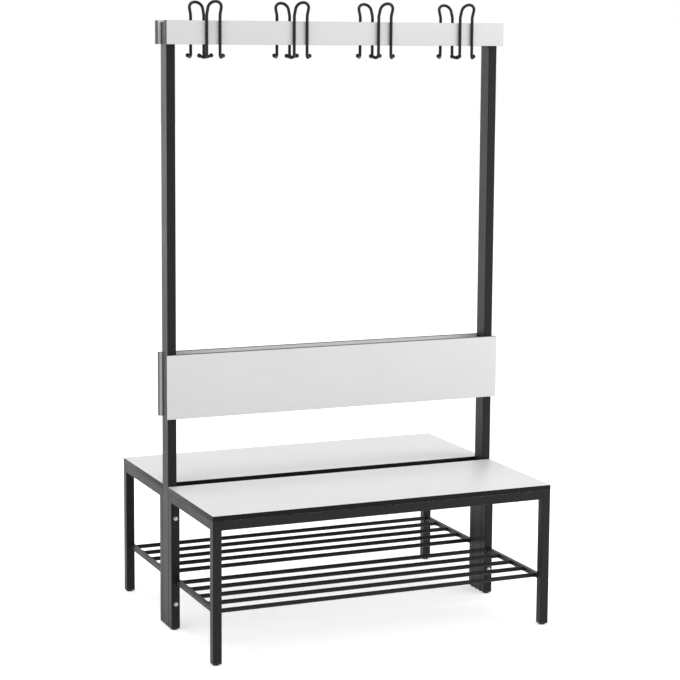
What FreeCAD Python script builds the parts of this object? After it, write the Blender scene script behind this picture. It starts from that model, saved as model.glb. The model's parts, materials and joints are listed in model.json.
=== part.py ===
import FreeCAD, Part
import Sketcher
import math
import os
import re

from FreeCAD import Placement, Rotation, Vector

# Double-sided cloakroom bench. Two bench frames of square tube are bolted back to back on two uprights,
# which carry a backrest and a hook rail on each side. Millimetres, +Z up, +X along the bench, front at -Y.
# The origin is on the floor, under the middle of the bench.

SIZES = [
    # Whole bench
    ("frame_length", 1000, "outside of the legs, along the bench"),
    ("frame_depth", 780, "outer legs of one bench to the outer legs of the other"),
    ("seat_height", 402, "floor to the top of the seat boards"),
    # Tube
    ("tube_side", 25, "square tube of the bench frames"),
    ("tube_wall", 1.5, "its wall"),
    ("tube_corner", 2, "outer corner radius of every tube"),
    ("upright_width", 25, "upright tube, along the bench"),
    ("upright_depth", 50, "upright tube, across the bench"),
    ("upright_wall", 2, "its wall"),
    ("upright_drop", 5, "top of the upright's cap, below the top of the hook rail"),
    # Boards
    ("board_thickness", 15, "seats and backrests"),
    ("rail_thickness", 25, "hook rails"),
    ("board_overhang", 7.5, "backrest and hook rail past the uprights, at each end"),
    ("board_edge", 1, "rounding of the boards' edges"),
    ("backrest_low", 593, "floor to the backrest"),
    ("backrest_height", 178, "its height"),
    ("rail_low", 1615, "floor to the hook rail"),
    ("rail_height", 64, "its height"),
    # Feet and caps
    ("glide_height", 4, "round glide that stands on the floor"),
    ("glide_margin", 1.5, "edge of the glide's top, inside the tube's faces"),
    ("glide_taper", 2, "how much smaller its radius is at the floor"),
    ("collar_height", 4, "square collar between the glide and the tube"),
    ("cap_thickness", 3, "cap in the top of an upright"),
    ("plug_length", 18, "plug of a foot or a cap, inside its tube"),
    ("plug_clearance", 0.2, "around the plug"),
    # Shoe racks
    ("rack_height", 137.5, "floor to the axes of the rods"),
    ("rack_bar", 12, "square end bars"),
    ("rod_diameter", 12, "rods along the bench"),
    ("rod_count", 5, "rods in a rack"),
    ("rod_margin", 10.5, "leg to the axis of the first rod"),
    # Hooks
    ("hook_count", 4, "hooks along each rail"),
    ("hook_margin", 126.875, "end of the rail to its first hook station"),
    ("hook_offset", 4, "hooks from their stations, to the right as seen from their own side"),
    ("wire_diameter", 8.5, "hook wire"),
    ("hook_gap", 0.3, "wire to the face of the rail"),
    ("hook_width", 38, "between the axes of a hook's two wires"),
    ("hook_bend", 16, "above the rail, where the loop starts to lean outwards"),
    ("hook_bend_radius", 20, "bend of the wire's axis there"),
    ("hook_rise", 51, "top of the loop's axis above the rail"),
    ("hook_lean", 18, "top of the loop, outwards from the straight wires"),
    ("prong_drop", 38, "below the rail, where the straight wire would meet its prong"),
    ("prong_radius", 9, "bend of the wire's axis there"),
    ("prong_spread", 15, "tip of a prong, sideways from its wire"),
    ("prong_tuck", 18.5, "tip of a prong, inwards under the rail"),
    ("prong_lift", 8, "tip of a prong, above its corner"),
    ("ball_diameter", 12, "ball on the tip"),
    ("stud_diameter", 5, "threaded stud welded to the back of each wire"),
    ("stud_reach", 10, "stud past the back of the rail"),
    ("hook_nut_width", 8, "across flats"),
    ("hook_nut_height", 4, "nut on a stud"),
    # Tabs that carry the boards
    ("tab_thickness", 4, "steel tab against the back of a board"),
    ("tab_width", 40, "tab, inwards from the upright"),
    ("backrest_tab_margin", 24, "end of a tab to the edge of the backrest"),
    ("rail_tab_margin", 9, "end of a tab to the edge of the hook rail"),
    ("tab_screw_inset", 13, "end of a tab to its screw"),
    # Board screws
    ("screw_diameter", 5, "shank"),
    ("screw_head_diameter", 10, "head"),
    ("screw_head_height", 3, "head"),
    ("screw_skin", 5, "board left in front of a screw's tip"),
    ("screw_clearance", 0.2, "around shanks and studs in their holes"),
    ("seat_screw_count", 3, "screws along each seat rail"),
    ("seat_screw_inset", 75, "leg to the first seat screw"),
    # Bolts through inner legs and uprights
    ("bolt_diameter", 6, "shank"),
    ("bolt_clearance", 0.3, "around the shank in its holes"),
    ("bolt_head_width", 10, "head and nut, across flats"),
    ("bolt_head_height", 4, "head"),
    ("bolt_nut_height", 5, "nut"),
    ("bolt_tail", 2.5, "thread past the nut"),
    ("washer_diameter", 12, "washers under the head and the nut"),
    ("washer_thickness", 1.6, "washers under the head and the nut"),
    ("bolt_low", 75, "floor to the lower bolts"),
    ("bolt_drop", 44, "underside of the seat rails to the upper bolts"),
]

FRONT_AND_REAR = (("front", -1), ("rear", 1))
LEFT_AND_RIGHT = (("left", -1), ("right", 1))

# Turns that point a piece's own +Z along the named direction
ALONG = {
    "+x": Rotation(Vector(0, 1, 0), 90),
    "+y": Rotation(Vector(1, 0, 0), -90),
    "-y": Rotation(Vector(1, 0, 0), 90),
    "+z": Rotation(),
    "-z": Rotation(Vector(1, 0, 0), 180),
}
OPPOSITE = {"+y": "-y", "-y": "+y", "+z": "-z"}

doc = FreeCAD.newDocument("CloakroomBench")
sheet = doc.addObject("Spreadsheet::Sheet", "Sizes")
for row, (alias, number, meaning) in enumerate(SIZES, start=1):
    sheet.set("A%d" % row, alias)
    sheet.set("B%d" % row, str(number))
    sheet.setAlias("B%d" % row, alias)
    sheet.set("C%d" % row, meaning)
doc.recompute()

nodes = []


def in_sheet(formula):
    """A formula written with the sizes' names, as the document's expressions want it."""
    return re.sub(r"\b([a-z]\w+)\b", r"Sizes.\1", formula)


def size(formula):
    """The present value of a formula, in millimetres or as a count."""
    return float(sheet.evalExpression(in_sheet(formula)))


def bind(piece, **formulas):
    """Ties properties of a piece to formulas over the sheet's sizes."""
    for name, formula in formulas.items():
        piece.setExpression(name, in_sheet(formula))


def place(piece, direction, x, y, z):
    """Puts a piece's own origin at formulas x, y, z, with its +Z along a direction."""
    piece.Placement = Placement(Vector(), ALONG[direction])
    for axis, formula in (("x", x), ("y", y), ("z", z)):
        piece.setExpression("Placement.Base." + axis, in_sheet(formula))


def node(piece, label):
    """Marks a piece as one of the bench's sub-parts."""
    piece.Label = label
    nodes.append(piece)
    return piece


# Basic solids


def block(name, x, y, z, low_x, low_y, low_z):
    """A box of size x, y, z from its low corner."""
    box = doc.addObject("Part::Box", name)
    bind(box, Length=x, Width=y, Height=z)
    place(box, "+z", low_x, low_y, low_z)
    return box


def cylinder(name, diameter, length, direction, x, y, z):
    """A round bar from a point, along a direction."""
    bar = doc.addObject("Part::Cylinder", name)
    bind(bar, Radius="(%s) / 2" % diameter, Height=length)
    place(bar, direction, x, y, z)
    return bar


def hexagon(name, across_flats, length, direction, x, y, z):
    """A hexagonal bar from a point, along a direction."""
    bar = doc.addObject("Part::Prism", name)
    bar.Polygon = 6
    bind(bar, Circumradius="(%s) / 2 / %.9f" % (across_flats, math.cos(math.pi / 6)), Height=length)
    place(bar, direction, x, y, z)
    return bar


def together(name, pieces):
    """Separate solids kept in one object."""
    group = doc.addObject("Part::Compound", name)
    group.Links = pieces
    return group


def joined(name, pieces):
    """Overlapping or touching solids made into one."""
    whole = doc.addObject("Part::MultiFuse", name)
    whole.Shapes = pieces
    return whole


def drilled(name, solid, cutters):
    """A solid with holes."""
    cut = doc.addObject("Part::Cut", name)
    cut.Base = solid
    cut.Tool = together(name + "_holes", cutters)
    return cut


# Tubes and boards, as extruded profiles


def rectangle(sketch, width, height, tag):
    """Draws a rectangle about the sketch's origin, its sides given by two formulas."""
    half = Vector(size(width) / 2, size(height) / 2)
    corners = [Vector(-half.x, -half.y), Vector(half.x, -half.y), half, Vector(-half.x, half.y)]
    first = sketch.GeometryCount
    for start, end in zip(corners, corners[1:] + corners[:1]):
        sketch.addGeometry(Part.LineSegment(start, end))
    sides = range(first, first + 4)
    for side, following in zip(sides, (first + 1, first + 2, first + 3, first)):
        sketch.addConstraint(Sketcher.Constraint("Coincident", side, 2, following, 1))
    for side, kind in zip(sides, ("Horizontal", "Vertical", "Horizontal", "Vertical")):
        sketch.addConstraint(Sketcher.Constraint(kind, side))
    sketch.addConstraint(Sketcher.Constraint("Symmetric", first, 1, first + 2, 1, -1, 1))
    for kind, side, formula in (("DistanceX", first, width), ("DistanceY", first + 1, height)):
        index = sketch.addConstraint(Sketcher.Constraint(kind, side, 1, side, 2, size(formula)))
        sketch.renameConstraint(index, tag + kind)
        sketch.setExpression("Constraints." + tag + kind, in_sheet(formula))


def extrusion(name, profiles, length):
    """A body whose profile, rectangles given by pairs of formulas, is padded along its own +Z."""
    body = doc.addObject("PartDesign::Body", name)
    sketch = body.newObject("Sketcher::SketchObject", name + "_profile")
    floor = next(plane for plane in body.Origin.OriginFeatures if plane.Role == "XY_Plane")
    sketch.AttachmentSupport = [(floor, "")]
    sketch.MapMode = "FlatFace"
    for number, (width, height) in enumerate(profiles):
        rectangle(sketch, width, height, "abc"[number])
    pad = body.newObject("PartDesign::Pad", name + "_pad")
    pad.Profile = sketch
    bind(pad, Length=length)
    doc.recompute()
    return body, pad


def rounded(body, feature, edges, radius):
    """Rounds the chosen edges of a body's last feature."""
    fillet = body.newObject("PartDesign::Fillet", body.Name + "_round")
    fillet.Base = (feature, edges)
    bind(fillet, Radius=radius)


def tube(name, width, depth, wall, length, direction, x, y, z):
    """A rectangular tube with round outer corners, from the middle of its end."""
    inside = ["%s - 2 * %s" % (side, wall) for side in (width, depth)]
    body, pad = extrusion(name, [(width, depth), inside], length)
    corner = Vector(size(width) / 2, size(depth) / 2)
    edges = []
    for number, edge in enumerate(pad.Shape.Edges, start=1):
        middle = edge.CenterOfMass
        on_corner = abs(abs(middle.x) - corner.x) + abs(abs(middle.y) - corner.y) < 1e-6
        if on_corner:
            edges.append("Edge%d" % number)
    rounded(body, pad, edges, "tube_corner")
    place(body, direction, x, y, z)
    return body


def board(name, length, height, thickness, direction, x, y, z):
    """A laminate board from the middle of its back, its thickness along a direction."""
    body, pad = extrusion(name, [(length, height)], thickness)
    edges = ["Edge%d" % number for number in range(1, len(pad.Shape.Edges) + 1)]
    rounded(body, pad, edges, "board_edge")
    place(body, direction, x, y, z)
    return body


# Fasteners


def board_screw(name, grip, thickness, direction, x, y, z):
    """A pan-head screw whose head sits against a point, through a grip and into a board behind it."""
    head = cylinder(name + "_head", "screw_head_diameter", "screw_head_height", OPPOSITE[direction], x, y, z)
    length = "%s + %s - screw_skin" % (grip, thickness)
    shank = cylinder(name + "_shank", "screw_diameter", length, direction, x, y, z)
    return joined(name, [head, shank])


def screw_hole(name, length, direction, x, y, z):
    """A hole for the shank of a board screw."""
    return cylinder(name, "screw_diameter + 2 * screw_clearance", length, direction, x, y, z)


# Places that several pieces share

FOOT = "(glide_height + collar_height)"
FRAME_TOP = "(seat_height - board_thickness)"
RAIL_MIDDLE = "(%s - tube_side / 2)" % FRAME_TOP
OUTER_LEG = "(frame_depth / 2 - tube_side / 2)"
INNER_LEG = "(upright_depth / 2 + tube_side / 2)"
LEG_ALONG = "(frame_length / 2 - tube_side / 2)"
BETWEEN_LEGS = "(frame_length - 2 * tube_side)"
ACROSS_LEGS = "(frame_depth / 2 - upright_depth / 2 - 2 * tube_side)"
SEAT_DEPTH = "(frame_depth / 2 - upright_depth / 2)"
SEAT_MIDDLE = "(frame_depth / 4 + upright_depth / 4)"
UPRIGHT_ALONG = "(frame_length / 2 - upright_width / 2)"
BOARD_LENGTH = "(frame_length + 2 * board_overhang)"
STUD_HEIGHT = "(rail_low + rail_height / 2)"
TAB_ALONG = "(frame_length / 2 - upright_width - tab_width / 2)"
BOLT_HEIGHTS = ("bolt_low", "(%s - tube_side - bolt_drop)" % FRAME_TOP)

# Low edge and height of the boards on the uprights, and the margin above and below their tabs
BACKREST = ("backrest_low", "backrest_height", "backrest_tab_margin")
HOOK_RAIL = ("rail_low", "rail_height", "rail_tab_margin")


def evenly(count_name, first, last):
    """Formulas for a row of places from a first to a last one."""
    count = int(size(count_name))
    return ["%s + (%s - (%s)) * %d / %d" % (first, last, first, step, count - 1) for step in range(count)]


# Feet and caps


def plugged(name, pieces, width, depth, wall, x, y, base, upwards):
    """Joins pieces to a plug that fits inside a tube, above or below a height."""
    slack = "2 * %s + 2 * plug_clearance" % wall
    plug_width = "(%s - (%s))" % (width, slack)
    plug_depth = "(%s - (%s))" % (depth, slack)
    low = base if upwards else "%s - plug_length" % base
    corner = ("%s - %s / 2" % (x, plug_width), "%s - %s / 2" % (y, plug_depth), low)
    plug = block(name + "_plug", plug_width, plug_depth, "plug_length", *corner)
    return joined(name, pieces + [plug])


def flange(name, width, depth, thickness, x, y, low):
    """A plate as wide as a tube, with the tube's round corners, from the middle of its underside."""
    body, pad = extrusion(name, [(width, depth)], thickness)
    upright_edges = []
    for number, edge in enumerate(pad.Shape.Edges, start=1):
        if abs(edge.tangentAt(edge.FirstParameter).z) > 0.5:
            upright_edges.append("Edge%d" % number)
    rounded(body, pad, upright_edges, "tube_corner")
    place(body, "+z", x, y, low)
    return body


def foot(name, width, depth, wall, x, y, glide_places):
    """A plastic foot: round glides under a collar, with a plug up into the tube."""
    pieces = [flange(name + "_collar", width, depth, "collar_height", x, y, "glide_height")]
    top_radius = "%s / 2 - glide_margin" % width
    for number, glide_y in enumerate(glide_places):
        glide = doc.addObject("Part::Cone", "%s_glide_%d" % (name, number))
        bind(glide, Radius1=top_radius + " - glide_taper", Radius2=top_radius, Height="glide_height")
        place(glide, "+z", x, glide_y, "0")
        pieces.append(glide)
    return plugged(name, pieces, width, depth, wall, x, y, FOOT, True)


# Bench frames


def leg(name, x, y, bolted):
    """A leg from its foot to the seat board, with holes for the bench bolts in an inner leg."""
    length = "%s - %s" % (FRAME_TOP, FOOT)
    post = tube(name, "tube_side", "tube_side", "tube_wall", length, "+z", x, y, FOOT)
    if not bolted:
        return post
    hole = "bolt_diameter + 2 * bolt_clearance"
    start = "%s - tube_side" % y
    cutters = []
    for number, height in enumerate(BOLT_HEIGHTS):
        cutters.append(cylinder("%s_bolt_%d" % (name, number), hole, "2 * tube_side", "+y", x, start, height))
    return drilled(name + "_drilled", post, cutters)


def seat_rail(name, y):
    """A rail along the bench with holes for the seat screws."""
    low_x = "-%s / 2" % BETWEEN_LEGS
    bar = tube(name, "tube_side", "tube_side", "tube_wall", BETWEEN_LEGS, "+x", low_x, y, RAIL_MIDDLE)
    below = "%s - tube_side" % RAIL_MIDDLE
    cutters = []
    for number, x in enumerate(seat_screw_places()):
        cutters.append(screw_hole("%s_screw_%d" % (name, number), "2 * tube_side", "+z", x, y, below))
    return drilled(name + "_drilled", bar, cutters)


def seat_screw_places():
    reach = "(%s / 2 - seat_screw_inset)" % BETWEEN_LEGS
    return evenly("seat_screw_count", "-" + reach, reach)


def bench(side, sign):
    """One bench: frame, seat, feet, screws and shoe rack."""
    outer = "%d * %s" % (sign, OUTER_LEG)
    inner = "%d * %s" % (sign, INNER_LEG)
    middle = "%d * %s" % (sign, SEAT_MIDDLE)
    feet = []
    for end, way in LEFT_AND_RIGHT:
        x = "%d * %s" % (way, LEG_ALONG)
        for row, y, bolted in (("outer", outer, False), ("inner", inner, True)):
            name = "%s_%s_%s_leg" % (side, row, end)
            node(leg(name + "_tube", x, y, bolted), name)
            feet.append(foot(name + "_foot", "tube_side", "tube_side", "tube_wall", x, y, [y]))
        name = "%s_%s_end_rail" % (side, end)
        low_y = "%s - %s / 2" % (middle, ACROSS_LEGS)
        rail = tube(name + "_tube", "tube_side", "tube_side", "tube_wall", ACROSS_LEGS, "+y", x, low_y,
                    RAIL_MIDDLE)
        node(rail, name)
    node(together(side + "_feet", feet), side + "_foot_caps")
    node(seat_rail(side + "_outer_tube", outer), side + "_outer_seat_rail")
    node(seat_rail(side + "_inner_tube", inner), side + "_inner_seat_rail")
    seat(side, middle, (outer, inner))
    shoe_rack(side, middle)


def seat(side, middle, rails):
    """The seat board and the screws that hold it from below."""
    thickness = "board_thickness"
    blank = board(side + "_seat_blank", "frame_length", SEAT_DEPTH, thickness, "+z", "0", middle, FRAME_TOP)
    screws = []
    holes = []
    for row, y in enumerate(rails):
        for number, x in enumerate(seat_screw_places()):
            tag = "%s_seat_%d_%d" % (side, row, number)
            depth = "%s - screw_skin" % thickness
            holes.append(screw_hole(tag + "_hole", depth, "+z", x, y, FRAME_TOP))
            under = "%s - tube_side" % FRAME_TOP
            screws.append(board_screw(tag + "_screw", "tube_side", thickness, "+z", x, y, under))
    node(drilled(side + "_seat", blank, holes), side + "_seat_board")
    node(together(side + "_seat_fixings", screws), side + "_seat_screws")


def shoe_rack(side, middle):
    """Rods along the bench between two end bars, which run from the inner to the outer legs."""
    low_y = "%s - %s / 2" % (middle, ACROSS_LEGS)
    low_z = "rack_height - rack_bar / 2"
    bar_low = {"left": "-%s / 2 - rack_bar" % BETWEEN_LEGS, "right": "%s / 2" % BETWEEN_LEGS}
    for end, low_x in bar_low.items():
        name = "%s_rack_%s_bar" % (side, end)
        node(block(name + "_block", "rack_bar", ACROSS_LEGS, "rack_bar", low_x, low_y, low_z), name)
    reach = "(%s / 2 - rod_margin)" % ACROSS_LEGS
    places = evenly("rod_count", "%s - %s" % (middle, reach), "%s + %s" % (middle, reach))
    for number, y in enumerate(places, start=1):
        name = "%s_rack_rod_%d" % (side, number)
        start = "-%s / 2" % BETWEEN_LEGS
        rod = cylinder(name + "_bar", "rod_diameter", BETWEEN_LEGS, "+x", start, y, "rack_height")
        node(rod, name)


# Uprights, with their feet, caps and the bolts that hold the benches


def uprights():
    """Two uprights from the floor to the hook rails."""
    top = "(rail_low + rail_height - upright_drop - cap_thickness)"
    feet = []
    caps = []
    for end, way in LEFT_AND_RIGHT:
        x = "%d * %s" % (way, UPRIGHT_ALONG)
        bolt_x = "%d * %s" % (way, LEG_ALONG)
        name = end + "_upright"
        shape = ("upright_width", "upright_depth", "upright_wall")
        post = tube(name + "_tube", *shape, "%s - %s" % (top, FOOT), "+z", x, "0", FOOT)
        holes = []
        for number, height in enumerate(BOLT_HEIGHTS):
            holes.append(cylinder("%s_bolt_%d" % (name, number), "bolt_diameter + 2 * bolt_clearance",
                                  "2 * upright_depth", "+y", bolt_x, "-upright_depth", height))
        node(drilled(name + "_drilled", post, holes), name)
        glide_y = "(upright_depth / 2 - upright_width / 2)"
        feet.append(foot(name + "_foot", *shape, x, "0", ["-" + glide_y, glide_y]))
        plate = flange(name + "_cap_plate", *shape[:2], "cap_thickness", x, "0", top)
        caps.append(plugged(name + "_cap", [plate], *shape, x, "0", top, False))
    node(together("upright_feet", feet), "upright_foot_caps")
    node(together("upright_caps", caps), "upright_top_caps")


def bench_bolts():
    """Bolts from the front inner legs, through the uprights, to the rear inner legs."""
    face = "(upright_depth / 2 + tube_side)"
    bolts = []
    washers = []
    nuts = []
    for end, way in LEFT_AND_RIGHT:
        x = "%d * %s" % (way, LEG_ALONG)
        for level, z in zip(("low", "high"), BOLT_HEIGHTS):
            name = "%s_%s_bolt" % (end, level)
            seat_y = "-%s - washer_thickness" % face
            head = hexagon(name + "_head", "bolt_head_width", "bolt_head_height", "-y", x, seat_y, z)
            grip = "2 * %s + 2 * washer_thickness + bolt_nut_height + bolt_tail" % face
            shank = cylinder(name + "_shank", "bolt_diameter", grip, "+y", x, seat_y, z)
            bolts.append(joined(name, [head, shank]))
            hole = "bolt_diameter + 2 * bolt_clearance"
            for tag, start in (("front", seat_y), ("rear", face)):
                disc = cylinder("%s_%s_disc" % (name, tag), "washer_diameter", "washer_thickness", "+y",
                                x, start, z)
                bore = cylinder("%s_%s_bore" % (name, tag), hole, "washer_thickness", "+y", x, start, z)
                washers.append(drilled("%s_%s_washer" % (name, tag), disc, [bore]))
            nut_y = "%s + washer_thickness" % face
            nut = hexagon(name + "_nut_bar", "bolt_head_width", "bolt_nut_height", "+y", x, nut_y, z)
            thread = cylinder(name + "_nut_bore", hole, "bolt_nut_height", "+y", x, nut_y, z)
            nuts.append(drilled(name + "_nut", nut, [thread]))
    node(together("bolts", bolts), "bench_bolts")
    node(together("washers", washers), "bench_washers")
    node(together("nuts", nuts), "bench_nuts")


# Backrests and hook rails


def tab_screw_heights(low, height, margin):
    """Heights of the lower and the upper screw in a tab."""
    inset = "(%s + tab_screw_inset)" % margin
    return (("low", "%s + %s" % (low, inset)), ("high", "%s + %s - %s" % (low, height, inset)))


def tabs(name, low, height, margin):
    """The steel tabs, welded to the uprights, that one pair of boards is screwed to."""
    low_z = "%s + %s" % (low, margin)
    tab_height = "%s - 2 * %s" % (height, margin)
    plates = []
    for side, sign in FRONT_AND_REAR:
        low_y = {-1: "-upright_depth / 2", 1: "upright_depth / 2 - tab_thickness"}[sign]
        for end, way in LEFT_AND_RIGHT:
            tag = "%s_%s_%s" % (side, end, name)
            x = "%d * %s" % (way, TAB_ALONG)
            low_x = "%s - tab_width / 2" % x
            plate = block(tag + "_plate", "tab_width", "tab_thickness", tab_height, low_x, low_y, low_z)
            holes = []
            for level, z in tab_screw_heights(low, height, margin):
                holes.append(screw_hole("%s_%s_hole" % (tag, level), "tab_thickness", "+y", x, low_y, z))
            plates.append(drilled(tag, plate, holes))
    node(together(name, plates), name + "s")


def upright_board(name, sign, low, height, margin, thickness, through_holes):
    """A board on one side of the uprights, and the screws that hold it from behind."""
    outwards = {-1: "-y", 1: "+y"}[sign]
    back = "%d * upright_depth / 2" % sign
    middle = "%s + %s / 2" % (low, height)
    blank = board(name + "_blank", BOARD_LENGTH, height, thickness, outwards, "0", back, middle)
    holes = list(through_holes)
    screws = []
    tab_face = "%d * (upright_depth / 2 - tab_thickness)" % sign
    for end, way in LEFT_AND_RIGHT:
        x = "%d * %s" % (way, TAB_ALONG)
        for level, z in tab_screw_heights(low, height, margin):
            tag = "%s_%s_%s_screw" % (name, end, level)
            holes.append(screw_hole(tag + "_hole", "%s - screw_skin" % thickness, outwards, x, back, z))
            screws.append(board_screw(tag, "tab_thickness", thickness, outwards, x, tab_face, z))
    node(drilled(name + "_drilled", blank, holes), name)
    return screws


# Wire hooks


def bend(before, corner, after, radius):
    """Start, middle and end of the arc that rounds a corner of the wire's axis."""
    back = (before - corner).normalize()
    onward = (after - corner).normalize()
    half_angle = back.getAngle(onward) / 2
    reach = radius / math.tan(half_angle)
    centre = corner + (back + onward).normalize() * (radius / math.sin(half_angle))
    middle = centre + (corner - centre).normalize() * radius
    return corner + back * reach, middle, corner + onward * reach


def mirrored(point):
    return Vector(-point.x, point.y, point.z)


def hook_axis():
    """The wire's axis from one tip, over the loop, to the other. Outwards is -Y, z = 0 is the rail's foot."""
    half_width = size("hook_width / 2")
    corner = Vector(half_width, 0, -size("prong_drop"))
    tip = corner + Vector(size("prong_spread"), size("prong_tuck"), size("prong_lift"))
    shoulder = Vector(half_width, 0, size("rail_height + hook_bend"))
    top = Vector(0, -size("hook_lean"), size("rail_height + hook_rise"))
    lean = Vector(0, top.y, top.z - shoulder.z).normalize()
    loop_start = top - lean * half_width + Vector(half_width, 0, 0)
    prong = bend(tip, corner, shoulder, size("prong_radius"))
    lean_out = bend(corner, shoulder, loop_start, size("hook_bend_radius"))
    edges = []
    for side in (lambda point: point, mirrored):
        edges.append(Part.LineSegment(side(tip), side(prong[0])))
        edges.append(Part.Arc(*[side(point) for point in prong]))
        edges.append(Part.LineSegment(side(prong[2]), side(lean_out[0])))
        edges.append(Part.Arc(*[side(point) for point in lean_out]))
        edges.append(Part.LineSegment(side(lean_out[2]), side(loop_start)))
    edges.append(Part.Arc(loop_start, top, mirrored(loop_start)))
    wire = Part.Wire(Part.__sortEdges__([edge.toShape() for edge in edges]))
    return wire, tip, (prong[0] - tip).normalize()


def hook_solid():
    """A hook: bent wire, balls on its tips and the studs welded to its back."""
    wire, tip, direction = hook_axis()
    section = Part.Wire(Part.makeCircle(size("wire_diameter / 2"), tip, direction))
    bent = wire.makePipeShell([section], True, False)
    expected = math.pi * size("wire_diameter / 2") ** 2 * wire.Length
    if abs(bent.Volume / expected - 1) > 0.01:
        raise ValueError("the bent wire's volume doesn't match its length")
    extras = []
    for point in (tip, mirrored(tip)):
        extras.append(Part.makeSphere(size("ball_diameter / 2"), point))
        foot_of_stud = Vector(math.copysign(size("hook_width / 2"), point.x), 0, size("rail_height / 2"))
        reach = size("wire_diameter / 2 + hook_gap + rail_thickness + stud_reach")
        extras.append(Part.makeCylinder(size("stud_diameter / 2"), reach, foot_of_stud, Vector(0, 1, 0)))
    return bent.fuse(extras).removeSplitter()


def hook_places(sign):
    """Places along the bench of the hooks of one side, from its left end as seen from that side."""
    reach = "(%s / 2 - hook_margin)" % BOARD_LENGTH
    stations = evenly("hook_count", "-" + reach, reach)
    return ["%d * (%s + hook_offset)" % (-sign, station) for station in stations]


def hooks(side, sign, solid):
    """The hooks of one side, and the nuts on their studs."""
    turn = {-1: Rotation(), 1: Rotation(Vector(0, 0, 1), 180)}[sign]
    wire_y = size("upright_depth / 2 + rail_thickness + hook_gap + wire_diameter / 2")
    inwards = {-1: "+y", 1: "-y"}[sign]
    nuts = []
    for number, x in enumerate(hook_places(sign), start=1):
        hook = doc.addObject("Part::Feature", "%s_hook_wire_%d" % (side, number))
        hook.Shape = solid
        hook.Placement = Placement(Vector(size(x), sign * wire_y, size("rail_low")), turn)
        node(hook, "%s_hook_%d" % (side, number))
        for tag, step in (("a", "-"), ("b", "+")):
            name = "%s_hook_%d_nut_%s" % (side, number, tag)
            at = ("%s %s hook_width / 2" % (x, step), "%d * upright_depth / 2" % sign, STUD_HEIGHT)
            bar = hexagon(name + "_bar", "hook_nut_width", "hook_nut_height", inwards, *at)
            thread = cylinder(name + "_bore", "stud_diameter + 2 * screw_clearance", "hook_nut_height",
                              inwards, *at)
            nuts.append(drilled(name, bar, [thread]))
    return nuts


def stud_holes(side, sign):
    """Holes through a hook rail for the studs of its hooks."""
    outwards = {-1: "-y", 1: "+y"}[sign]
    back = "%d * upright_depth / 2" % sign
    holes = []
    for number, x in enumerate(hook_places(sign)):
        for tag, step in (("a", "-"), ("b", "+")):
            holes.append(cylinder("%s_stud_hole_%d_%s" % (side, number, tag),
                                  "stud_diameter + 2 * screw_clearance", "rail_thickness", outwards,
                                  "%s %s hook_width / 2" % (x, step), back, STUD_HEIGHT))
    return holes


# The bench, put together

for bench_side, bench_sign in FRONT_AND_REAR:
    bench(bench_side, bench_sign)
uprights()
bench_bolts()
tabs("backrest_tab", *BACKREST)
tabs("rail_tab", *HOOK_RAIL)
board_screws = []
hook_nuts = []
one_hook = hook_solid()
for bench_side, bench_sign in FRONT_AND_REAR:
    board_screws += upright_board(bench_side + "_backrest", bench_sign, *BACKREST, "board_thickness", [])
    board_screws += upright_board(bench_side + "_hook_rail", bench_sign, *HOOK_RAIL, "rail_thickness",
                                  stud_holes(bench_side, bench_sign))
    hook_nuts += hooks(bench_side, bench_sign, one_hook)
node(together("board_fixings", board_screws), "board_screws")
node(together("hook_fixings", hook_nuts), "hook_nuts")
doc.recompute()

# Checks, then one file for each sub-part

for piece in doc.Objects:
    if "Invalid" in piece.State or "Error" in piece.State:
        raise RuntimeError("%s failed: %s" % (piece.Label, piece.State))
os.makedirs("parts", exist_ok=True)
for piece in nodes:
    if piece.Shape.isNull() or not piece.Shape.isValid():
        raise RuntimeError("%s has no valid shape" % piece.Label)
    piece.Shape.exportStep("parts/%s.step" % piece.Label)
print(len(nodes), "sub-parts written")
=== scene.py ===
import json
import math

import bmesh
import bpy
from mathutils import Matrix, Vector


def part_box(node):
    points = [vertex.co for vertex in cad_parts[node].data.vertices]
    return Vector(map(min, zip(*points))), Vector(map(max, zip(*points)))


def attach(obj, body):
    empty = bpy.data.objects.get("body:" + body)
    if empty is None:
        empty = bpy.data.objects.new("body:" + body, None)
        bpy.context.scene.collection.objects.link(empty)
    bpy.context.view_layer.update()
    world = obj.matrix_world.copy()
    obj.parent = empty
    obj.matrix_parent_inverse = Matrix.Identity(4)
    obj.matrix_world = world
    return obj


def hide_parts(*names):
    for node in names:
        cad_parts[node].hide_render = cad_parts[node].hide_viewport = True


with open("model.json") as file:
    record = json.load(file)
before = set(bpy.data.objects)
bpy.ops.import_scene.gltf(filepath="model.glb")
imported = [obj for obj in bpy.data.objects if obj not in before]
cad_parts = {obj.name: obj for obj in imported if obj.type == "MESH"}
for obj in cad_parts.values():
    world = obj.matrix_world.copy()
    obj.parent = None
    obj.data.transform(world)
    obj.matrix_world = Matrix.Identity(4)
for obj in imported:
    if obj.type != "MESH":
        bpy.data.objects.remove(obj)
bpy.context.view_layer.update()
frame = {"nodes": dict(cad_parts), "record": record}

# Looks of the double-sided cloakroom bench. Lengths are in metres, the front is at -Y, +Z is up.

MM = 0.001
UP = Vector((0, 0, 1))
REARWARDS = Vector((0, 1, 0))

# Which way each side lies along Y, and each end along X
SIDES = {"front": -1, "rear": 1}
ENDS = {"left": -1, "right": 1}

# Noise: the part of its range that a material uses, its detail, and the clouds' share in the gloss
NOISE_LOW = 0.3
NOISE_HIGH = 0.7
CLOUD_DETAIL = 3
GRAIN_DETAIL = 2
CLOUDS_IN_GLOSS = 0.4

# Edges that turn by more than this are drawn sharp
SHARP_TURN = math.radians(32)

# Boards: the rounding of their edges, and how squarely a face looks out of the board where it is pale
BOARD_EDGE = 1.0 * MM
BOARD_EDGE_STEPS = 4
PALE_TURN = 0.6

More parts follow.
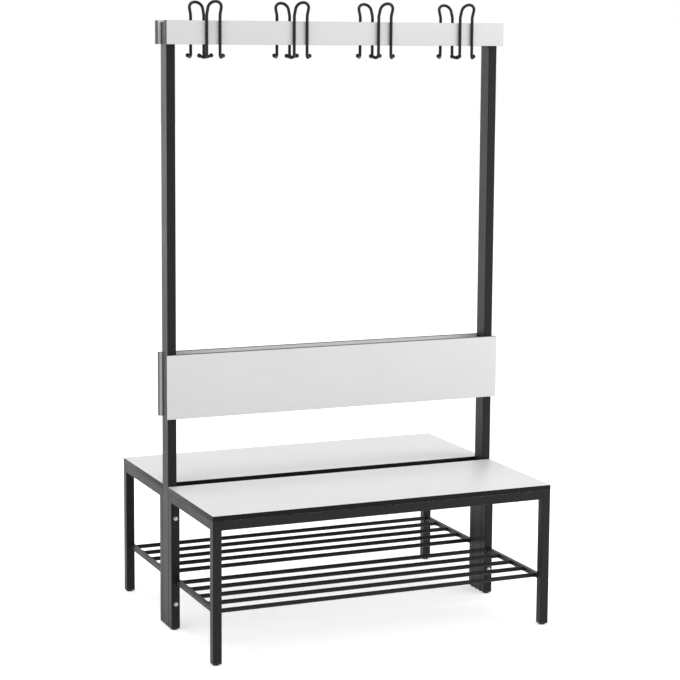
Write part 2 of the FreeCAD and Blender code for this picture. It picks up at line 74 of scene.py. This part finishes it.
# Hooks, and the share of a half turn that is flat at each pole of a ball
HOOK_COUNT = 4
WIRE_RADIUS = 4.24 * MM
WIRE_GAP = 0.3 * MM
HOOK_HALF_WIDTH = 19 * MM
HOOK_BEND = 16 * MM
HOOK_BEND_RADIUS = 20 * MM
HOOK_RISE = 51 * MM
HOOK_LEAN = 18 * MM
PRONG_DROP = 38 * MM
PRONG_RADIUS = 9 * MM
PRONG_TIP = Vector((15 * MM, 18.5 * MM, 8 * MM))
BALL_RADIUS = 6 * MM
BALL_STEPS = 16
BALL_POLE = 0.02
BEND_STEPS = 10
ARCH_STEPS = 24

# The hooks' studs and nuts
STUD_RADIUS = 2.5 * MM
STUD_PITCH = 0.8 * MM
STUD_REACH = 10 * MM
STUD_CLEARANCE = 0.2 * MM
HOOK_NUT = 4 * MM
HOOK_NUT_FLATS = 8 * MM

# Threads: depth as a share of the pitch, rings in a turn, and the end's chamfer in thread depths
THREAD_DEPTH = 0.55
THREAD_STEPS = 6
THREAD_CHAMFER = 1.3

# Hexagons: the radius where an end's chamfer starts, as a share of the width across flats, and its slope
CHAMFER_START = 0.475
CHAMFER_SLOPE = math.tan(math.radians(30))

# Bolts through the inner legs, and their nuts and washers
BOLT_RADIUS = 3 * MM
BOLT_PITCH = 1.0 * MM
BOLT_CLEARANCE = 0.3 * MM
BOLT_HEAD = 4 * MM
BOLT_NUT = 5 * MM
BOLT_TAIL = 2.5 * MM
BOLT_FLATS = 10 * MM
BOLT_HEIGHTS = (75 * MM, 318 * MM)
WASHER_RADIUS = 6 * MM
WASHER_THICKNESS = 1.6 * MM
WASHER_EDGE = 0.2 * MM

# Screws into the boards, and the radius of their points as a share of the shank's
SCREW_RADIUS = 2.5 * MM
SCREW_POINT = 0.3
SCREW_HEAD_RADIUS = 5 * MM
SCREW_HEAD = 3 * MM
SCREW_SKIN = 5 * MM
SEAT_SCREW_INSET = 75 * MM
TAB_SCREW_INSET = 13 * MM

# Their heads, in shares of the head's radius and height: the profile from the top down, and the recess,
# whose lobes are a share of its own radius
HEAD_PROFILE = ((0.6, 1), (0.82, 0.92), (0.95, 0.7), (1, 0.4), (1, 0))
RECESS_RADIUS = 0.42
RECESS_FLOOR = 0.45
RECESS_LOBES = 6
LOBE_DEPTH = 0.14

# Tabs that carry the boards
TAB_THICKNESS = 4 * MM
TAB_WIDTH = 40 * MM

# Rods in a shoe rack
ROD_COUNT = 5

# Welds: a bead tapers over a short length to a share of its radius. Those of tubes and tabs have an inset.
WELD_RADIUS = 1.8 * MM
RING_WELD_RADIUS = 0.75 * WELD_RADIUS
WELD_TAPER = 1 * MM
WELD_END = 0.45
TUBE_WELD_INSET = 2.5 * MM
TAB_WELD_INSET = 4 * MM
WELD_SIDES = 10
LEAST_WELD_STEPS = 8
RING_WELD_STEPS = 40

# Ripples of a weld: length, steps along one, and depth as a share of the bead's radius
RIPPLE = 2.4 * MM
RIPPLE_STEPS = 5
RIPPLE_DEPTH = 0.14

# Floor: its side, and its lift towards white
FLOOR_SIDE = 60
FLOOR_LIFT = 0.5

# Soft light from all round, where 1 is white
STUDIO_LEVEL = 0.7

# Camera: heading to the right of +Y, drop below level and roll are in degrees, lens and sensor in
# millimetres, and the shift in widths of the picture
CAMERA_PLACE = (-2.1845, -5.0940, 1.6358)
CAMERA_HEADING = 23.4357
CAMERA_DROP = 7.3728
CAMERA_ROLL = 0.4091
CAMERA_LENS = 104.235
CAMERA_SENSOR = 36
CAMERA_SHIFT = -0.07


# Materials


def shader(name, **sockets):
    """A new material and its main shader, with constant values on the shader's own sockets."""
    made = bpy.data.materials.new(name)
    made.use_nodes = True
    main = made.node_tree.nodes["Principled BSDF"]
    for socket, value in sockets.items():
        main.inputs[socket.replace("_", " ")].default_value = value
    return made, main


def noise(made, scale, detail, stretch=(1, 1, 1)):
    """A noise over the object's own coordinates, as its factor's socket."""
    tree = made.node_tree
    place = tree.nodes.new("ShaderNodeTexCoord")
    mapping = tree.nodes.new("ShaderNodeMapping")
    mapping.inputs["Scale"].default_value = stretch
    texture = tree.nodes.new("ShaderNodeTexNoise")
    texture.inputs["Scale"].default_value = scale
    texture.inputs["Detail"].default_value = detail
    tree.links.new(place.outputs["Object"], mapping.inputs["Vector"])
    tree.links.new(mapping.outputs["Vector"], texture.inputs["Vector"])
    return texture.outputs["Fac"]


def spread(made, source, low, high):
    """A noise's middle range spread over new limits."""
    limits = made.node_tree.nodes.new("ShaderNodeMapRange")
    ends = {"From Min": NOISE_LOW, "From Max": NOISE_HIGH, "To Min": low, "To Max": high}
    for socket, value in ends.items():
        limits.inputs[socket].default_value = value
    made.node_tree.links.new(source, limits.inputs["Value"])
    return limits.outputs["Result"]


def tones(made, source, dark, light):
    """A colour between two tones, by a noise's middle range."""
    ramp = made.node_tree.nodes.new("ShaderNodeValToRGB")
    ramp.color_ramp.elements[0].position = NOISE_LOW
    ramp.color_ramp.elements[1].position = NOISE_HIGH
    ramp.color_ramp.elements[0].color = (*dark, 1)
    ramp.color_ramp.elements[1].color = (*light, 1)
    made.node_tree.links.new(source, ramp.inputs["Fac"])
    return ramp.outputs["Color"]


def blended(made, first, second, weight):
    """Two factors averaged, the second with a weight."""
    mix = made.node_tree.nodes.new("ShaderNodeMix")
    mix.inputs["Factor"].default_value = weight
    made.node_tree.links.new(first, mix.inputs["A"])
    made.node_tree.links.new(second, mix.inputs["B"])
    return mix.outputs["Result"]


def relief(made, main, height, depth, strength):
    """Fine relief from a factor, its depth in metres."""
    bump = made.node_tree.nodes.new("ShaderNodeBump")
    bump.inputs["Distance"].default_value = depth
    bump.inputs["Strength"].default_value = strength
    made.node_tree.links.new(height, bump.inputs["Height"])
    made.node_tree.links.new(bump.outputs["Normal"], main.inputs["Normal"])


def surface(name, dark, light, cloud_scale, grain_scale, grain_weight, roughness, depth, strength,
            stretch=(1, 1, 1), **sockets):
    """A material with clouded colour, and fine grain in colour, gloss and relief."""
    made, main = shader(name, **sockets)
    cloud = noise(made, cloud_scale, CLOUD_DETAIL)
    grain = noise(made, grain_scale, GRAIN_DETAIL, stretch)
    links = made.node_tree.links
    links.new(tones(made, blended(made, cloud, grain, grain_weight), dark, light), main.inputs["Base Color"])
    gloss = spread(made, blended(made, grain, cloud, CLOUDS_IN_GLOSS), *roughness)
    links.new(gloss, main.inputs["Roughness"])
    relief(made, main, grain, depth, strength)
    return made


powder_coat = surface(
    "powder_coat", dark=(0.0072, 0.0074, 0.0084), light=(0.0122, 0.0125, 0.0138),
    cloud_scale=9, grain_scale=460, grain_weight=0.5, roughness=(0.32, 0.5),
    depth=0.3 * MM, strength=0.4, Specular_IOR_Level=0.2)
laminate = surface(
    "laminate", dark=(0.728, 0.731, 0.739), light=(0.782, 0.784, 0.789),
    cloud_scale=5, grain_scale=640, grain_weight=0.5, roughness=(0.34, 0.5),
    depth=0.12 * MM, strength=0.4, Specular_IOR_Level=0.4)
board_core = surface(
    "board_core", dark=(0.003, 0.003, 0.0032), light=(0.0065, 0.0065, 0.0068),
    cloud_scale=14, grain_scale=700, grain_weight=0.6, roughness=(0.36, 0.6),
    depth=0.1 * MM, strength=0.4, stretch=(0.06, 1, 1), Specular_IOR_Level=0.1, Sheen_Weight=0.15)
hook_coat = surface(
    "hook_coat", dark=(0.006, 0.006, 0.0065), light=(0.011, 0.011, 0.012),
    cloud_scale=30, grain_scale=420, grain_weight=0.5, roughness=(0.24, 0.38),
    depth=0.08 * MM, strength=0.25, Specular_IOR_Level=0.25)
moulded = surface(
    "moulded_plastic", dark=(0.011, 0.011, 0.012), light=(0.019, 0.019, 0.02),
    cloud_scale=40, grain_scale=1900, grain_weight=0.6, roughness=(0.5, 0.68),
    depth=0.1 * MM, strength=0.4, Specular_IOR_Level=0.4)
zinc = surface(
    "zinc_plate", dark=(0.38, 0.39, 0.405), light=(0.54, 0.54, 0.53),
    cloud_scale=120, grain_scale=1400, grain_weight=0.5, roughness=(0.26, 0.42),
    depth=0.03 * MM, strength=0.3, stretch=(1, 0.15, 1), Metallic=1.0)


# Building meshes


def piece(name, bm, materials, slot, *nodes):
    """A finished piece from a mesh: smooth but for its sharp edges, riding on the bench's one body."""
    bmesh.ops.recalc_face_normals(bm, faces=bm.faces)
    for face in bm.faces:
        face.smooth = True
    for edge in bm.edges:
        edge.smooth = edge.calc_face_angle(0) < SHARP_TURN
    mesh = bpy.data.meshes.new(name)
    bm.to_mesh(mesh)
    bm.free()
    for made in materials:
        mesh.materials.append(made)
    made_piece = bpy.data.objects.new(name, mesh)
    bpy.context.scene.collection.objects.link(made_piece)
    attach(made_piece, "root")
    for node in nodes:
        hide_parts(node)


def facing(direction, place):
    """The transform that takes +Z to a direction and the origin to a place."""
    turn = UP.rotation_difference(Vector(direction)).to_matrix().to_4x4()
    return Matrix.Translation(place) @ turn


def at(value, where):
    """A value that may be a function of an angle or a distance."""
    return value(where) if callable(value) else value


def add_turned(bm, place, rings, sides=48, ring_shaped=False):
    """A surface through rings round +Z, each a radius and a height, which may vary with the angle."""
    loops = []
    for radius, height in rings:
        loop = []
        for step in range(sides):
            angle = 2 * math.pi * step / sides
            across = at(radius, angle)
            point = Vector((across * math.cos(angle), across * math.sin(angle), at(height, angle)))
            loop.append(bm.verts.new(place @ point))
        loops.append(loop)
    if ring_shaped:
        loops.append(loops[0])
    for low, high in zip(loops, loops[1:]):
        for step in range(sides):
            following = (step + 1) % sides
            bm.faces.new((low[step], low[following], high[following], high[step]))
    if not ring_shaped:
        bm.faces.new(loops[0])
        bm.faces.new(loops[-1])


def add_sweep(bm, points, radius, sides=20, closed=False):
    """A round tube along points, whose radius may vary with the distance along them."""
    count = len(points)
    loops = []
    side = None
    distance = 0.0
    for step, point in enumerate(points):
        before = points[step - 1] if step > 0 or closed else point
        after = points[(step + 1) % count] if step < count - 1 or closed else point
        along = (after - before).normalized()
        if side is None:
            side = along.orthogonal()
        side = (side - along * side.dot(along)).normalized()
        other = along.cross(side)
        if step > 0:
            distance += (point - points[step - 1]).length
        across = at(radius, distance)
        loop = []
        for number in range(sides):
            angle = 2 * math.pi * number / sides
            loop.append(bm.verts.new(point + (side * math.cos(angle) + other * math.sin(angle)) * across))
        loops.append(loop)
    if closed:
        loops.append(loops[0])
    for low, high in zip(loops, loops[1:]):
        for number in range(sides):
            following = (number + 1) % sides
            bm.faces.new((low[number], low[following], high[following], high[number]))
    if not closed:
        bm.faces.new(loops[0])
        bm.faces.new(loops[-1])


# Boards: pale laminate faces with a dark edge


def board(node):
    """A board in its solid's place: pale faces round to the turn of its edges, and a dark core between."""
    low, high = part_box(node)
    middle = (low + high) / 2
    extent = high - low
    thin = min(range(3), key=lambda axis: extent[axis])
    bm = bmesh.new()
    bmesh.ops.create_cube(bm, size=1, matrix=Matrix.Translation(middle) @ Matrix.Diagonal((*extent, 1)))
    bmesh.ops.bevel(bm, geom=bm.edges[:], offset=BOARD_EDGE, segments=BOARD_EDGE_STEPS, profile=0.5,
                    affect="EDGES")
    bm.normal_update()
    for face in bm.faces:
        face.material_index = 0 if abs(face.normal[thin]) > PALE_TURN else 1
    piece(node + "_panel", bm, (laminate, board_core), "laminate", node)


for bench_side in SIDES:
    for board_name in ("seat_board", "backrest", "hook_rail"):
        board(bench_side + "_" + board_name)


# Wire hooks


def bend(before, corner, after, radius):
    """Points along the arc that rounds a corner."""
    back = (before - corner).normalized()
    onward = (after - corner).normalized()
    half_angle = back.angle(onward) / 2
    start = corner + back * (radius / math.tan(half_angle))
    centre = corner + (back + onward).normalized() * (radius / math.sin(half_angle))
    axis = (start - centre).cross(corner - centre).normalized()
    turn = math.pi - 2 * half_angle
    points = []
    for step in range(BEND_STEPS + 1):
        part_turn = Matrix.Rotation(turn * step / BEND_STEPS, 3, axis)
        points.append(centre + part_turn @ (start - centre))
    return points


def threaded(radius, pitch, start, length):
    """Rings of a threaded bar from a height, with half a pitch of chamfered end past its length."""
    depth = THREAD_DEPTH * pitch
    rings = []
    for step in range(int(length / pitch * THREAD_STEPS) + 1):
        height = start + step * pitch / THREAD_STEPS

        def groove(angle, height=height):
            turn = (height / pitch + angle / (2 * math.pi)) % 1
            return radius - depth * abs(2 * turn - 1)

        rings.append((groove, height))
    rings.append((radius - THREAD_CHAMFER * depth, start + length + pitch / 2))
    return rings


def hook_points(rail_height):
    """The wire's axis in the hook's own frame: outwards is -Y, and z = 0 is the low edge of the rail."""
    corner = Vector((HOOK_HALF_WIDTH, 0, -PRONG_DROP))
    tip = corner + PRONG_TIP
    shoulder = Vector((HOOK_HALF_WIDTH, 0, rail_height + HOOK_BEND))
    top = Vector((0, -HOOK_LEAN, rail_height + HOOK_RISE))
    lean = Vector((0, top.y, top.z - shoulder.z)).normalized()
    centre = top - lean * HOOK_HALF_WIDTH
    half = [tip]
    half += bend(tip, corner, shoulder, PRONG_RADIUS)
    half += bend(corner, shoulder, centre + Vector((HOOK_HALF_WIDTH, 0, 0)), HOOK_BEND_RADIUS)
    arch = []
    for step in range(ARCH_STEPS + 1):
        angle = math.pi * step / ARCH_STEPS
        arch.append(centre + Vector((math.cos(angle), 0, 0)) * HOOK_HALF_WIDTH
                    + lean * (math.sin(angle) * HOOK_HALF_WIDTH))
    other_half = [Vector((-point.x, point.y, point.z)) for point in reversed(half)]
    return half + arch + other_half


def add_ball(bm, place, radius):
    """A ball about a place, ring by ring, with a small flat at each pole."""
    rings = []
    for step in range(BALL_STEPS + 1):
        angle = math.pi * (BALL_POLE + (1 - 2 * BALL_POLE) * step / BALL_STEPS)
        rings.append((radius * math.sin(angle), -radius * math.cos(angle)))
    add_turned(bm, place, rings, sides=24)


def hook(side, sign, number):
    """A wire hook in its solid's place, with ball tips and threaded studs."""
    node = "%s_hook_%d" % (side, number)
    low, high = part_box(node)
    rail_low, rail_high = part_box(side + "_hook_rail")
    rail_height = rail_high.z - rail_low.z
    face = rail_low.y if sign < 0 else rail_high.y
    wire_y = face + sign * (WIRE_GAP + WIRE_RADIUS)
    turn = Matrix.Rotation(0 if sign < 0 else math.pi, 4, "Z")
    place = Matrix.Translation(((low.x + high.x) / 2, wire_y, rail_low.z)) @ turn
    points = hook_points(rail_height)
    bm = bmesh.new()
    add_sweep(bm, [place @ point for point in points], WIRE_RADIUS)
    through = WIRE_RADIUS + WIRE_GAP + rail_high.y - rail_low.y
    for end in (points[0], points[-1]):
        add_ball(bm, place @ Matrix.Translation(end), BALL_RADIUS)
        foot = Vector((math.copysign(HOOK_HALF_WIDTH, end.x), 0, rail_height / 2))
        rings = [(STUD_RADIUS, 0), (STUD_RADIUS, through)]
        rings += threaded(STUD_RADIUS, STUD_PITCH, through, STUD_REACH - STUD_PITCH / 2)
        add_turned(bm, place @ facing(REARWARDS, foot), rings, sides=24)
    piece(node + "_wire", bm, (hook_coat,), "hook_wire", node)


for bench_side, side_sign in SIDES.items():
    for hook_number in range(1, HOOK_COUNT + 1):
        hook(bench_side, side_sign, hook_number)


# Fasteners


def hexagon(flats):
    """The radius of a hexagon at an angle, from its width across flats."""
    return lambda angle: flats / 2 / math.cos((angle + math.pi / 6) % (math.pi / 3) - math.pi / 6)


def chamfered(flats, height, drop_sign):
    """The height at which a hexagon's wall meets the turned chamfer of its end."""
    outline = hexagon(flats)
    return lambda angle: height + drop_sign * (outline(angle) - CHAMFER_START * flats) * CHAMFER_SLOPE


def add_nut(bm, place, flats, height, hole):
    """A nut with both ends chamfered."""
    outline = hexagon(flats)
    rings = [(hole, 0), (CHAMFER_START * flats, 0), (outline, chamfered(flats, 0, 1)),
             (outline, chamfered(flats, height, -1)), (CHAMFER_START * flats, height), (hole, height)]
    add_turned(bm, place, rings, ring_shaped=True)


def add_screw(bm, place, length):
    """A pan-head screw with a lobed recess, its head behind the origin and its shank along +Z."""

    def lobes(angle):
        return RECESS_RADIUS * SCREW_HEAD_RADIUS * (1 + LOBE_DEPTH * math.cos(RECESS_LOBES * angle))

    rings = [(lobes, -RECESS_FLOOR * SCREW_HEAD), (lobes, -SCREW_HEAD)]
    rings += [(across * SCREW_HEAD_RADIUS, -height * SCREW_HEAD) for across, height in HEAD_PROFILE]
    rings += [(SCREW_RADIUS, 0), (SCREW_RADIUS, length - SCREW_RADIUS), (SCREW_POINT * SCREW_RADIUS, length)]
    add_turned(bm, place, rings)


def add_bolt(bm, place, grip):
    """A hexagon bolt, its head behind the origin and its shank along +Z through a grip."""
    outline = hexagon(BOLT_FLATS)
    rings = [(CHAMFER_START * BOLT_FLATS, -BOLT_HEAD), (outline, chamfered(BOLT_FLATS, -BOLT_HEAD, 1)),
             (outline, 0), (BOLT_RADIUS, 0), (BOLT_RADIUS, grip - BOLT_PITCH)]
    rings += threaded(BOLT_RADIUS, BOLT_PITCH, grip - BOLT_PITCH, BOLT_TAIL + BOLT_PITCH / 2)
    add_turned(bm, place, rings)


def add_washer(bm, place, hole):
    """A washer with a softened rim."""
    rim = WASHER_RADIUS - WASHER_EDGE
    rings = [(hole, 0), (rim, 0), (WASHER_RADIUS, WASHER_EDGE),
             (WASHER_RADIUS, WASHER_THICKNESS - WASHER_EDGE), (rim, WASHER_THICKNESS),
             (hole, WASHER_THICKNESS)]
    add_turned(bm, place, rings, ring_shaped=True)


def bench_fixings():
    """The bolts that hold both benches to the uprights, with washers and nuts."""
    bolts = bmesh.new()
    washers = bmesh.new()
    nuts = bmesh.new()
    hole = BOLT_RADIUS + BOLT_CLEARANCE
    for end in ENDS:
        front_low, front_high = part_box("front_inner_%s_leg" % end)
        _, rear_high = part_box("rear_inner_%s_leg" % end)
        x = (front_low.x + front_high.x) / 2
        front_y = front_low.y
        rear_y = rear_high.y
        grip = rear_y - front_y + 2 * WASHER_THICKNESS + BOLT_NUT
        for z in BOLT_HEIGHTS:
            add_bolt(bolts, facing(REARWARDS, (x, front_y - WASHER_THICKNESS, z)), grip)
            for y in (front_y - WASHER_THICKNESS, rear_y):
                add_washer(washers, facing(REARWARDS, (x, y, z)), hole)
            add_nut(nuts, facing(REARWARDS, (x, rear_y + WASHER_THICKNESS, z)), BOLT_FLATS, BOLT_NUT, hole)
    piece("bench_bolt_set", bolts, (zinc,), "zinc", "bench_bolts")
    piece("bench_washer_set", washers, (zinc,), "zinc", "bench_washers")
    piece("bench_nut_set", nuts, (zinc,), "zinc", "bench_nuts")


def seat_screws(side):
    """Screws up through the seat rails into the seat board."""
    _, board_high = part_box(side + "_seat_board")
    bm = bmesh.new()
    for rail in ("outer", "inner"):
        low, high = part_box("%s_%s_seat_rail" % (side, rail))
        reach = (high.x - low.x) / 2 - SEAT_SCREW_INSET
        length = board_high.z - SCREW_SKIN - low.z
        for x in (-reach, 0, reach):
            add_screw(bm, facing(UP, (x, (low.y + high.y) / 2, low.z)), length)
    piece(side + "_seat_screw_set", bm, (zinc,), "zinc", side + "_seat_screws")


def board_screws():
    """Screws from the tabs into the backs of the backrests and hook rails."""
    bm = bmesh.new()
    for tabs, boards in (("backrest_tabs", "backrest"), ("rail_tabs", "hook_rail")):
        low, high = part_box(tabs)
        tab_middle = high.x - TAB_WIDTH / 2
        for side, sign in SIDES.items():
            board_low, board_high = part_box(side + "_" + boards)
            seat_y = (low.y + TAB_THICKNESS) if sign < 0 else (high.y - TAB_THICKNESS)
            length = TAB_THICKNESS + board_high.y - board_low.y - SCREW_SKIN
            for x in (-tab_middle, tab_middle):
                for z in (low.z + TAB_SCREW_INSET, high.z - TAB_SCREW_INSET):
                    add_screw(bm, facing((0, sign, 0), (x, seat_y, z)), length)
    piece("board_screw_set", bm, (zinc,), "zinc", "board_screws")


def hook_nuts():
    """Nuts on the hooks' studs, against the backs of the hook rails."""
    bm = bmesh.new()
    for side, sign in SIDES.items():
        rail_low, rail_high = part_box(side + "_hook_rail")
        back = rail_high.y if sign < 0 else rail_low.y
        z = (rail_low.z + rail_high.z) / 2
        for number in range(1, HOOK_COUNT + 1):
            low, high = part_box("%s_hook_%d" % (side, number))
            middle = (low.x + high.x) / 2
            for x in (middle - HOOK_HALF_WIDTH, middle + HOOK_HALF_WIDTH):
                add_nut(bm, facing((0, -sign, 0), (x, back, z)), HOOK_NUT_FLATS, HOOK_NUT,
                        STUD_RADIUS + STUD_CLEARANCE)
    piece("hook_nut_set", bm, (zinc,), "zinc", "hook_nuts")


bench_fixings()
for bench_side in SIDES:
    seat_screws(bench_side)
board_screws()
hook_nuts()


# Welds


def rippled(radius, turn):
    """The radius of a weld bead at a turn of its ripples."""
    return radius * (1 + RIPPLE_DEPTH * math.cos(turn))


def add_bead(bm, start, end):
    """A straight weld bead along an inside corner, with tapered ends."""
    start = Vector(start)
    end = Vector(end)
    length = (end - start).length
    steps = max(LEAST_WELD_STEPS, round(length / (RIPPLE / RIPPLE_STEPS)))

    def radius(distance):
        taper = min(1, distance / WELD_TAPER, (length - distance) / WELD_TAPER)
        return rippled(WELD_RADIUS, 2 * math.pi * distance / RIPPLE) * (WELD_END + (1 - WELD_END) * taper)

    add_sweep(bm, [start.lerp(end, step / steps) for step in range(steps + 1)], radius, WELD_SIDES)


def add_ring_bead(bm, centre, axis, radius):
    """A weld bead round a rod where it meets a face, with a whole number of ripples."""
    place = facing(axis, centre)
    points = []
    for step in range(RING_WELD_STEPS):
        angle = 2 * math.pi * step / RING_WELD_STEPS
        points.append(place @ Vector((radius * math.cos(angle), radius * math.sin(angle), 0)))
    ripples = round(2 * math.pi * radius / RIPPLE)

    def thickness(distance):
        return rippled(RING_WELD_RADIUS, ripples * distance / radius)

    add_sweep(bm, points, thickness, WELD_SIDES, closed=True)


def frame_welds(side):
    """Beads under the ends of the seat and end rails, at the ends of the rack bars and round the rods."""
    bm = bmesh.new()
    inset = TUBE_WELD_INSET
    for rail in ("outer", "inner"):
        low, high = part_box("%s_%s_seat_rail" % (side, rail))
        for x in (low.x, high.x):
            add_bead(bm, (x, low.y + inset, low.z), (x, high.y - inset, low.z))
    for end, way in ENDS.items():
        low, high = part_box("%s_%s_end_rail" % (side, end))
        for y in (low.y, high.y):
            add_bead(bm, (low.x + inset, y, low.z), (high.x - inset, y, low.z))
        low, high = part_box("%s_rack_%s_bar" % (side, end))
        outer = low.x if way < 0 else high.x
        for y in (low.y, high.y):
            for z in (low.z, high.z):
                add_bead(bm, (low.x, y, z), (high.x, y, z))
            add_bead(bm, (outer, y, low.z), (outer, y, high.z))
        for number in range(1, ROD_COUNT + 1):
            rod_low, rod_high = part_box("%s_rack_rod_%d" % (side, number))
            centre = (rod_low + rod_high) / 2
            centre.x = rod_low.x if way < 0 else rod_high.x
            add_ring_bead(bm, centre, (way, 0, 0), (rod_high.z - rod_low.z) / 2)
    piece(side + "_frame_welds", bm, (powder_coat,), "frame_steel")


def tab_welds():
    """Beads where the tabs meet the uprights."""
    bm = bmesh.new()
    for tabs in ("backrest_tabs", "rail_tabs"):
        low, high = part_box(tabs)
        for x in (low.x, high.x):
            for y in (low.y + TAB_THICKNESS, high.y - TAB_THICKNESS):
                add_bead(bm, (x, y, low.z + TAB_WELD_INSET), (x, y, high.z - TAB_WELD_INSET))
    piece("tab_welds", bm, (powder_coat,), "frame_steel")


for bench_side in SIDES:
    frame_welds(bench_side)
tab_welds()


# Every solid gets the finish of its slot

finishes = {"frame_steel": powder_coat, "laminate": laminate, "hook_wire": hook_coat,
            "black_plastic": moulded, "zinc": zinc}
for part in frame["record"]["subparts"]:
    for slot in frame["nodes"][part["node"]].material_slots:
        slot.material = finishes[part["material_slot"]]


# Floor, light and camera


def seen_rays(tree):
    """One for the rays by which the camera, reflections or glass see a surface, as a socket."""
    path = tree.nodes.new("ShaderNodeLightPath")
    rays = path.outputs["Is Camera Ray"]
    for kind in ("Is Glossy Ray", "Is Transmission Ray"):
        either = tree.nodes.new("ShaderNodeMath")
        either.operation = "MAXIMUM"
        tree.links.new(rays, either.inputs[0])
        tree.links.new(path.outputs[kind], either.inputs[1])
        rays = either.outputs["Value"]
    return rays


def floor():
    """A pale floor, lifted to white where the camera and reflections see it, that keeps a soft shadow."""
    bpy.ops.mesh.primitive_plane_add(size=FLOOR_SIDE)
    ground = bpy.context.object
    ground.name = "floor"
    made, main = shader("floor", Base_Color=(0.9, 0.9, 0.9, 1), Roughness=0.9, Specular_IOR_Level=0.0)
    tree = made.node_tree
    lift = tree.nodes.new("ShaderNodeEmission")
    both = tree.nodes.new("ShaderNodeAddShader")
    share = tree.nodes.new("ShaderNodeMath")
    share.operation = "MULTIPLY"
    share.inputs[1].default_value = FLOOR_LIFT
    tree.links.new(seen_rays(tree), share.inputs[0])
    tree.links.new(share.outputs["Value"], lift.inputs["Strength"])
    tree.links.new(main.outputs["BSDF"], both.inputs[0])
    tree.links.new(lift.outputs["Emission"], both.inputs[1])
    tree.links.new(both.outputs["Shader"], tree.nodes["Material Output"].inputs["Surface"])
    ground.data.materials.append(made)


def surroundings():
    """A white studio: white where the camera, reflections or glass see it, and soft light elsewhere."""
    world = bpy.data.worlds.new("studio")
    bpy.context.scene.world = world
    world.use_nodes = True
    tree = world.node_tree
    soft = tree.nodes["Background"]
    soft.inputs["Color"].default_value = (1, 1, 1, 1)
    soft.inputs["Strength"].default_value = STUDIO_LEVEL
    seen = tree.nodes.new("ShaderNodeBackground")
    seen.inputs["Color"].default_value = (1, 1, 1, 1)
    mix = tree.nodes.new("ShaderNodeMixShader")
    tree.links.new(seen_rays(tree), mix.inputs["Fac"])
    tree.links.new(soft.outputs["Background"], mix.inputs[1])
    tree.links.new(seen.outputs["Background"], mix.inputs[2])
    tree.links.new(mix.outputs["Shader"], tree.nodes["World Output"].inputs["Surface"])


def softbox(name, place, target, size, power):
    """A square area light that points at a target."""
    light = bpy.data.lights.new(name, "AREA")
    light.size = size
    light.energy = power
    lamp = bpy.data.objects.new(name, light)
    lamp.location = place
    lamp.rotation_euler = (Vector(target) - Vector(place)).to_track_quat("-Z", "Y").to_euler()
    bpy.context.scene.collection.objects.link(lamp)


def camera():
    """The photograph's view: level with the hook rail, from the left of the front."""
    data = bpy.data.cameras.new("camera")
    data.sensor_width = CAMERA_SENSOR
    data.lens = CAMERA_LENS
    data.shift_y = CAMERA_SHIFT
    eye = bpy.data.objects.new("camera", data)
    heading = Matrix.Rotation(math.radians(-CAMERA_HEADING), 4, "Z")
    tilt = Matrix.Rotation(math.radians(90 - CAMERA_DROP), 4, "X")
    roll = Matrix.Rotation(math.radians(CAMERA_ROLL), 4, "Z")
    eye.matrix_world = Matrix.Translation(CAMERA_PLACE) @ heading @ tilt @ roll
    bpy.context.scene.collection.objects.link(eye)
    bpy.context.scene.camera = eye


floor()
surroundings()
softbox("overhead", place=(-0.3, -0.2, 7.0), target=(0, 0, 0.5), size=5, power=150)
softbox("key", place=(4.2, -3.2, 2.2), target=(0, 0, 0.9), size=4, power=78)
softbox("rim", place=(-2.4, 4.2, 1.6), target=(0, 0, 0.9), size=2.5, power=28)
camera()
bpy.context.scene.view_settings.view_transform = "Standard"
